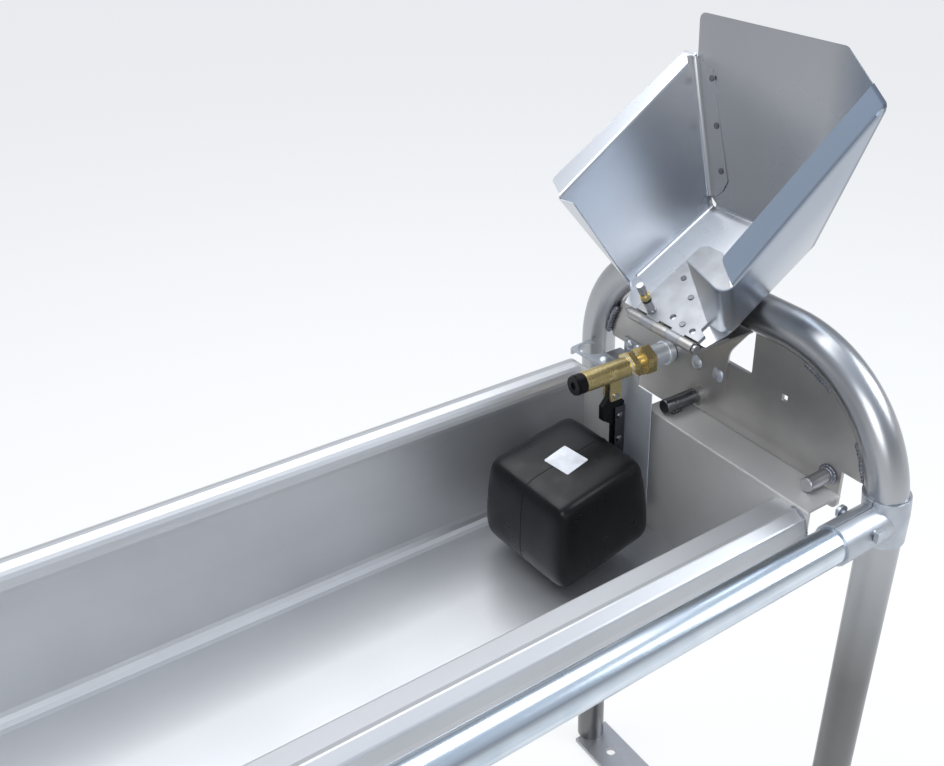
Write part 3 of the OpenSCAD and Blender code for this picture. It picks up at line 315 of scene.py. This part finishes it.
sleeve_zinc = metal(
    "sleeve_zinc", light=rgb(0.86, 0.90, 0.95), dark=rgb(0.66, 0.71, 0.78), grain=(40, 40, 40),
    clouds=0.8, streaks=0.2, smooth=0.24, rough=0.4, specks=0.1,
    bump=0.006, cloud_scale=60.0, metallic=0.55, edge=0.0006)
guard_steel = metal(
    "guard_steel", light=rgb(0.70, 0.745, 0.81), dark=rgb(0.60, 0.64, 0.70), grain=(20, 20, 20),
    clouds=0.7, streaks=0.1, smooth=0.34, rough=0.44, specks=0.06,
    bump=0.002, metallic=0.6)
rail_zinc = metal(
    "rail_zinc", light=rgb(0.80, 0.86, 0.92), dark=rgb(0.44, 0.52, 0.60), grain=(4, 120, 120),
    clouds=0.35, streaks=0.65, smooth=0.16, rough=0.32, specks=0.08,
    bump=0.012, cloud_scale=30.0)
plated_steel = metal(
    "plated_steel", light=rgb(0.60, 0.61, 0.63), dark=rgb(0.42, 0.42, 0.44), grain=(160, 160, 160),
    clouds=0.5, streaks=0.3, smooth=0.25, rough=0.4, specks=0.15,
    edge=0.0005)
weld_steel = metal(
    "weld_steel", light=rgb(0.34, 0.36, 0.41), dark=rgb(0.12, 0.12, 0.14), grain=(200, 200, 200),
    clouds=0.7, streaks=0.3, smooth=0.20, rough=0.34, specks=0.3,
    bump=0.05, cloud_scale=60.0)
cast_brass = metal(
    "cast_brass", light=rgb(0.84, 0.69, 0.36), dark=rgb(0.54, 0.42, 0.17), grain=(220, 220, 220),
    clouds=0.6, streaks=0.4, smooth=0.22, rough=0.36, specks=0.3,
    bump=0.15, cloud_scale=90.0, metallic=0.85, edge=0.0006)

# %% [markdown]
# Two finishes carry painted shade. The hood's end and its front side are painted greyer than the
# rest of its sheet, and the legs are painted darker towards the ground, where they mirror a darker
# ground than this floor. In the photograph the hood's end and its front side look greyer than the
# rest of its sheet, and the legs get darker towards the ground. Why can't be seen there. Both
# tints come from where a point lies on the piece, read as Object coordinates, so they look the
# same from any side.


# %% Painted shade on the hood and the legs
def paint_shade(made, rules):
    """Paints shade: multiplies a metal's colour by a tint wherever an axis of the place runs from start
    to stop.
    """
    tree = made.node_tree
    shader = tree.nodes["Principled BSDF"]
    colour = shader.inputs["Base Color"].links[0].from_socket
    spot = node(tree, "ShaderNodeSeparateXYZ", {0: node(tree, "ShaderNodeTexCoord").outputs["Object"]})
    for axis, (start, stop), tint in rules:
        share = spread(tree, spot.outputs[axis], start, stop)
        colour = node(tree, "ShaderNodeMix", {0: share, 6: colour, 7: tint}, data_type="RGBA",
                      blend_type="MULTIPLY").outputs[2]
    tree.links.new(colour, shader.inputs["Base Color"])


# Painted shade: the hood's end and front side are painted greyer, and the legs darker towards the
# ground.
HOOD_END_SHADE_X, HOOD_FRONT_SHADE_Y, LEG_SHADE_Z = (0.8060, 0.8085), (-0.0500, -0.0950), (0.82, 0.60)
paint_shade(hood_steel, [("X", HOOD_END_SHADE_X, rgb(0.60, 0.60, 0.61)),
                    ("Y", HOOD_FRONT_SHADE_Y, rgb(0.56, 0.62, 0.70))])
paint_shade(tube_steel, [("Z", LEG_SHADE_Z, rgb(0.42, 0.415, 0.40))])


# %% Plastics and rubber
PORE_SCALE, PORE_DEPTH = 900.0, 0.0004


def moulded(name, colour, roughness, bump=0.05, gleam=0.5):
    """A moulded plastic or a rubber, with slow blotches, uneven gloss and fine pores."""
    made, tree, shader = blank_material(name)
    shader.inputs["Specular IOR Level"].default_value = gleam
    place = node(tree, "ShaderNodeTexCoord").outputs["Object"]
    blotch = spread(tree, noise(tree, place, 18.0, 5, 0.6), 0.35, 0.75, 0.75, 1.5)
    tinted = node(tree, "ShaderNodeMix", {0: 1.0, 6: colour, 7: blotch}, data_type="RGBA",
                  blend_type="MULTIPLY")
    tree.links.new(tinted.outputs[2], shader.inputs["Base Color"])
    uneven = spread(tree, noise(tree, place, 40.0, 4), 0.3, 0.7, roughness - 0.06, roughness + 0.08)
    tree.links.new(uneven, shader.inputs["Roughness"])
    pores = noise(tree, place, PORE_SCALE, 2)
    relief = node(tree, "ShaderNodeBump", {"Height": pores, "Strength": bump, "Distance": PORE_DEPTH})
    tree.links.new(relief.outputs["Normal"], shader.inputs["Normal"])
    return made


black_plastic = moulded("black_plastic", rgb(0.0038, 0.0042, 0.0052), 0.32, bump=0.02, gleam=0.26)
black_rubber = moulded("black_rubber", rgb(0.02, 0.02, 0.02), 0.6)
white_plastic = moulded("white_plastic", rgb(0.74, 0.73, 0.68), 0.4)
label_paper = moulded("label_paper", rgb(0.52, 0.535, 0.565), 0.6, bump=0.1)

# %% [markdown]
# ## Finishes on the CAD solids
# Each solid keeps its shape and only changes its material. The record names a finish for
# every solid, and the first table says which Blender material stands for that finish. The
# second lists the solids whose finish differs from the others in their slot.

# %% Give every solid its finish
finish_of_slot = {
    "stainless_tube": tube_steel, "stainless": bar_steel, "stainless_sheet": pan_steel,
    "dark_stainless": plate_steel, "galvanised": zinc_steel, "plated_steel": plated_steel,
    "brass": cast_brass, "black_plastic": black_plastic, "rubber": black_rubber,
    "white_plastic": white_plastic,
}
for part in frame["record"]["subparts"]:
    solid = nodes[part["node"]]
    solid.data.materials.clear()
    solid.data.materials.append(finish_of_slot[part["material_slot"]])
own_finish = {"hood_shell": hood_steel, "trough_end_right": wall_steel, "trough_end_left": wall_steel,
              "guard_rail": rail_zinc, "valve_bracket": guard_steel, "coupling_sleeve": sleeve_zinc,
              "hood_rivets": dark_steel, "pivot_pin_right": dark_steel, "pivot_pin_left": dark_steel,
              "float_strip": dark_steel, "float_screw": dark_steel, "hinge_hood_leaf": leaf_zinc}
for name, finish in own_finish.items():
    nodes[name].data.materials[0] = finish

# %% [markdown]
# ## Tools for the pieces modelled here
# A finished piece keeps its place in its mesh, like a CAD solid, because the export moves every
# object to the origin. So each piece is shaped near the origin, put where it belongs, and then
# its place is applied. The helpers below do the parts of this that every piece repeats.


# %% Helpers
def fresh(*chosen):
    """Leaves edit mode and selects only the objects given; the first is the active one."""
    if bpy.context.object and bpy.context.object.mode != "OBJECT":
        bpy.ops.object.mode_set(mode="OBJECT")
    bpy.ops.object.select_all(action="DESELECT")
    for thing in chosen:
        thing.select_set(True)
    if chosen:
        bpy.context.view_layer.objects.active = chosen[0]


def pick(piece, test):
    """In edit mode, selects the points whose place passes the test."""
    bpy.ops.mesh.select_mode(type="VERT")
    bpy.ops.mesh.select_all(action="DESELECT")
    mesh = bmesh.from_edit_mesh(piece.data)
    for point in mesh.verts:
        point.select = test(point.co)
    mesh.select_flush_mode()
    bmesh.update_edit_mesh(piece.data)


def turned(x=0, y=0, z=0):
    """The matrix of a turn in degrees."""
    return Euler([math.radians(angle) for angle in (x, y, z)]).to_matrix().to_4x4()


def freeze(piece):
    """Applies a piece's place, turn and size to its mesh."""
    fresh(piece)
    bpy.ops.object.transform_apply(location=True, rotation=True, scale=True)


def freeze_size(piece):
    """Applies only a piece's size."""
    fresh(piece)
    bpy.ops.object.transform_apply(location=False, rotation=False, scale=True)


def apply_all(piece):
    """Applies a piece's modifiers in their order."""
    fresh(piece)
    for modifier in list(piece.modifiers):
        bpy.ops.object.modifier_apply(modifier=modifier.name)


def settle(piece, name, finish, body, angle=60):
    """Bakes a piece's place into its mesh and gives it its name, finish and body."""
    freeze(piece)
    bpy.ops.object.mode_set(mode="EDIT")
    bpy.ops.mesh.select_all(action="SELECT")
    bpy.ops.mesh.normals_make_consistent(inside=False)
    bpy.ops.object.mode_set(mode="OBJECT")
    bpy.ops.object.shade_smooth_by_angle(angle=math.radians(angle))
    piece.name = piece.data.name = name
    piece.data.materials.clear()
    piece.data.materials.append(finish)
    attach(piece, body)
    print(name, "faces", len(piece.data.polygons), "mm", [round(1000 * d, 1) for d in piece.dimensions])


def join(pieces):
    """Joins the pieces into the first one."""
    fresh(*pieces)
    bpy.ops.object.join()
    return bpy.context.object


# %% [markdown]
# ## Float
# The float is blown in a mould of two halves. It is wide near its base, draws in towards its
# top, and all its edges are large soft rounds. The CAD solid is a hull of balls, whose facets
# show in the long highlights. So here the float starts as a coarse cage of nine squares a side,
# and a Subdivision Surface modifier rounds it. The loops next to an edge set how soft that edge
# is, and the four points in the middle of a side are moved outwards to crown it. Where the
# halves of the mould met, a thin ridge runs round it.

# %% Float cage
FLOAT_WIDE, FLOAT_TOP, FLOAT_FOOT, FLOAT_TALL = 0.1606, 0.1385, 0.1565, 0.1326
FLOAT_MIDDLE = (0.5564, 0.0765, 0.7497)
FLOAT_PLACE = Matrix.Translation(FLOAT_MIDDLE) @ turned(z=5.8) @ turned(x=4.5, y=-5)
WIDEST, SHOULDER = -0.033, 0.0400
SHOULDER_WIDE = 0.1470
EDGE_LOOP = 0.032
NEAR = 0.001

fresh()
bpy.ops.mesh.primitive_cube_add(size=1)
float_shell = bpy.context.object
float_shell.scale = (FLOAT_WIDE, FLOAT_WIDE, FLOAT_TALL)
freeze_size(float_shell)
bpy.ops.object.mode_set(mode="EDIT")
bpy.ops.mesh.select_all(action="SELECT")
bpy.ops.mesh.subdivide(number_cuts=2)
for axis in (0, 1):
    for side in (-1, 1):
        pick(float_shell, lambda co: abs(co[axis] - side * FLOAT_WIDE / 6) < NEAR)
        shift = [0, 0, 0]
        shift[axis] = side * (FLOAT_WIDE / 3 - EDGE_LOOP)
        bpy.ops.transform.translate(value=shift)
for old, new in ((-FLOAT_TALL / 6, WIDEST), (FLOAT_TALL / 6, SHOULDER)):
    pick(float_shell, lambda co: abs(co.z - old) < NEAR)
    bpy.ops.transform.translate(value=(0, 0, new - old))
levels = ((FLOAT_TALL / 2, FLOAT_TOP), (SHOULDER, SHOULDER_WIDE), (-FLOAT_TALL / 2, FLOAT_FOOT))
for level, width in levels:
    pick(float_shell, lambda co: abs(co.z - level) < NEAR)
    taper = width / FLOAT_WIDE
    bpy.ops.transform.resize(value=(taper, taper, 1), center_override=(0, 0, level))
print("cage faces", len(bmesh.from_edit_mesh(float_shell.data).faces))

# %% Crowned top and sides, then rounded
CROWN = 0.0016
FACE_OUT, MIDDLE = 0.06, 0.05
for side, axis in ((-1, 0), (-1, 1), (1, 0), (1, 1), (1, 2)):
    across = [other for other in range(3) if other != axis]
    pick(float_shell, lambda co: side * co[axis] > FACE_OUT and all(abs(co[a]) < MIDDLE for a in across))
    shift = [0, 0, 0]
    shift[axis] = side * CROWN
    bpy.ops.transform.translate(value=shift)
bpy.ops.object.mode_set(mode="OBJECT")
rounding = float_shell.modifiers.new("rounding", "SUBSURF")
rounding.levels = rounding.render_levels = 4
apply_all(float_shell)
print("float mm", [round(1000 * d, 1) for d in float_shell.dimensions])

# %% Parting ridge
RIDGE_RADIUS = 0.0006

fresh(float_shell)
bpy.ops.object.duplicate()
ridge = bpy.context.object
bpy.ops.object.mode_set(mode="EDIT")
bpy.ops.mesh.select_all(action="SELECT")
bpy.ops.mesh.bisect(plane_co=(0, 0, 0), plane_no=(0, 1, 0), clear_inner=True, clear_outer=True)
bpy.ops.object.mode_set(mode="OBJECT")
bpy.ops.object.convert(target="CURVE")
ridge = bpy.context.object
ridge.data.bevel_depth = RIDGE_RADIUS
ridge.data.bevel_resolution = 2
bpy.ops.object.convert(target="MESH")
ridge = bpy.context.object
print("ridge faces", len(ridge.data.polygons))

# %% Flat side against the strip
STRIP_SIDE = 0.6427
for piece in (float_shell, ridge):
    piece.matrix_world = FLOAT_PLACE
    freeze(piece)
    bpy.ops.object.mode_set(mode="EDIT")
    bpy.ops.mesh.select_all(action="SELECT")
    bpy.ops.mesh.bisect(plane_co=(STRIP_SIDE, 0, 0), plane_no=(1, 0, 0), clear_outer=True, use_fill=True)
    bpy.ops.object.mode_set(mode="OBJECT")
settle(float_shell, "float_shell", black_plastic, "float_arm")
settle(ridge, "float_ridge", black_plastic, "float_arm")
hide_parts("float_body")

# %% [markdown]
# ## Label
# A small paper square is stuck on the float's top. Its print is left out, so it is a plain
# white square with rounded corners. It is cut from a grid and pressed on the crown with a
# Shrinkwrap modifier, because the top isn't flat.

# %% Blank label
LABEL_W, LABEL_H = 0.038, 0.0405
LABEL_CORNER, CORNER_FROM = 0.002, (0.0189, 0.0201)
LABEL_SPOT, LABEL_TURN = (-0.0024, -0.003, 0.072), 5
PAPER = 0.0008

fresh()
bpy.ops.mesh.primitive_grid_add(x_subdivisions=14, y_subdivisions=14, size=1)
label = bpy.context.object
label.scale = (LABEL_W, LABEL_H, 1)
freeze_size(label)
bpy.ops.object.mode_set(mode="EDIT")
pick(label, lambda co: abs(co.x) > CORNER_FROM[0] and abs(co.y) > CORNER_FROM[1])
bpy.ops.mesh.bevel(offset=LABEL_CORNER, segments=3, affect="VERTICES")
bpy.ops.object.mode_set(mode="OBJECT")
label.matrix_world = FLOAT_PLACE @ Matrix.Translation(LABEL_SPOT) @ turned(z=LABEL_TURN)
freeze(label)
press = label.modifiers.new("press", "SHRINKWRAP")
press.target = float_shell
press.wrap_method = "NEAREST_SURFACEPOINT"
press.offset = PAPER
paper = label.modifiers.new("paper", "SOLIDIFY")
paper.thickness = PAPER
paper.offset = -1
apply_all(label)
settle(label, "float_label", label_paper, "float_arm", 50)

# %% [markdown]
# ## Welds
# A weld is laid as a row of small melted drops, each one frozen over the last. So a bead is
# modelled the same way: flattened balls in a row, each a little different, melted together by a
# voxel remesh. The half-moon plates hang in the hoops on short beads that fill the corner
# between the plate's face and the tube, each front stop pin stands in a round one, and a fine
# one runs between the front rim and each end wall.

# %% One row of drops
ENDS = ((1, "right"), (-1, "left"))
SEED = 7
drop_sizes = random.Random(SEED)


def drops(spots, radius, flat=0.75):
    """Balls at the spots (place, facing), flattened along the direction they face."""
    made = []
    for place, facing in spots:
        size = radius * drop_sizes.uniform(0.9, 1.12)
        fresh()
        bpy.ops.mesh.primitive_uv_sphere_add(segments=14, ring_count=10, radius=size, location=place)
        ball = bpy.context.object
        ball.scale = (1, 1, flat)
        ball.rotation_euler = Vector(facing).to_track_quat("Z", "Y").to_euler()
        made.append(ball)
    return made


def melt(balls, voxel=0.0005):
    """Joins the balls and melts them into one closed bead."""
    whole = join(balls)
    freeze(whole)
    whole.data.remesh_voxel_size = voxel
    bpy.ops.object.voxel_remesh()
    return whole


# %% Beads between plate and hoop
HOOP_X, PLATE_FACE = 0.75, 0.0025
BEND_Y, BEND_Z, BEAD_R = 0.0955, 0.843, 0.1384
BEAD_RUNS = ((60, 76), (13, 30))
DROPS_PER_DEGREE, DRIFT = 0.55, 0.0005
BEAD_OUT, BEAD_DROP, BEAD_FLAT = 0.0034, 0.0048, 0.85

for end, side_name in ENDS:
    balls = []
    for face in (-1, 1):
        for side in (-1, 1):
            for start, stop in BEAD_RUNS:
                count = round((stop - start) * DROPS_PER_DEGREE)
                for step in range(count + 1):
                    angle = math.radians(start + (stop - start) * step / count)
                    drift = drop_sizes.uniform(-DRIFT, DRIFT)
                    spot = (end * (HOOP_X + face * (PLATE_FACE + BEAD_OUT)),
                            side * (BEND_Y + (BEAD_R + drift) * math.cos(angle)),
                            BEND_Z + (BEAD_R + drift) * math.sin(angle))
                    balls += drops([(spot, (end * face, 0, 0))], BEAD_DROP, BEAD_FLAT)
    settle(melt(balls), "plate_welds_" + side_name, weld_steel, "stand")

# %% Round beads of the stop pins
STOP_Y, STOP_Z, STOP_R = -0.1784, 0.8522, 0.0105
STOP_DROPS, STOP_OUT, STOP_DROP = 18, 0.0012, 0.0032

for end, side_name in ENDS:
    spots = []
    for step in range(STOP_DROPS):
        turn = math.tau * step / STOP_DROPS
        spots.append(((end * (HOOP_X - PLATE_FACE - STOP_OUT), STOP_Y + STOP_R * math.cos(turn),
                       STOP_Z + STOP_R * math.sin(turn)), (-end, 0, 0)))
    bead = melt(drops(spots, STOP_DROP))
    settle(bead, "stop_pin_weld_" + side_name, weld_steel, "stand")

# %% Seam between the front rim and the end wall
SEAM_X, SEAM_DROP, SEAM_VOXEL = 0.6838, 0.0021, 0.0004
SEAM_FACING = (0, -0.5, 0.8)
SEAM = [(-0.2090, 0.806), (-0.2092, 0.812), (-0.2083, 0.818), (-0.2062, 0.824), (-0.2040, 0.830),
        (-0.1995, 0.834), (-0.1940, 0.8365), (-0.1880, 0.8375), (-0.1820, 0.8362)]

for end, side_name in ENDS:
    spots = []
    for first, second in zip(SEAM, SEAM[1:]):
        for part in (0, 0.5):
            y = first[0] + (second[0] - first[0]) * part
            z = first[1] + (second[1] - first[1]) * part
            spots.append(((end * SEAM_X, y, z), SEAM_FACING))
    bead = melt(drops(spots, SEAM_DROP), SEAM_VOXEL)
    settle(bead, "rim_weld_" + side_name, weld_steel, "trough")
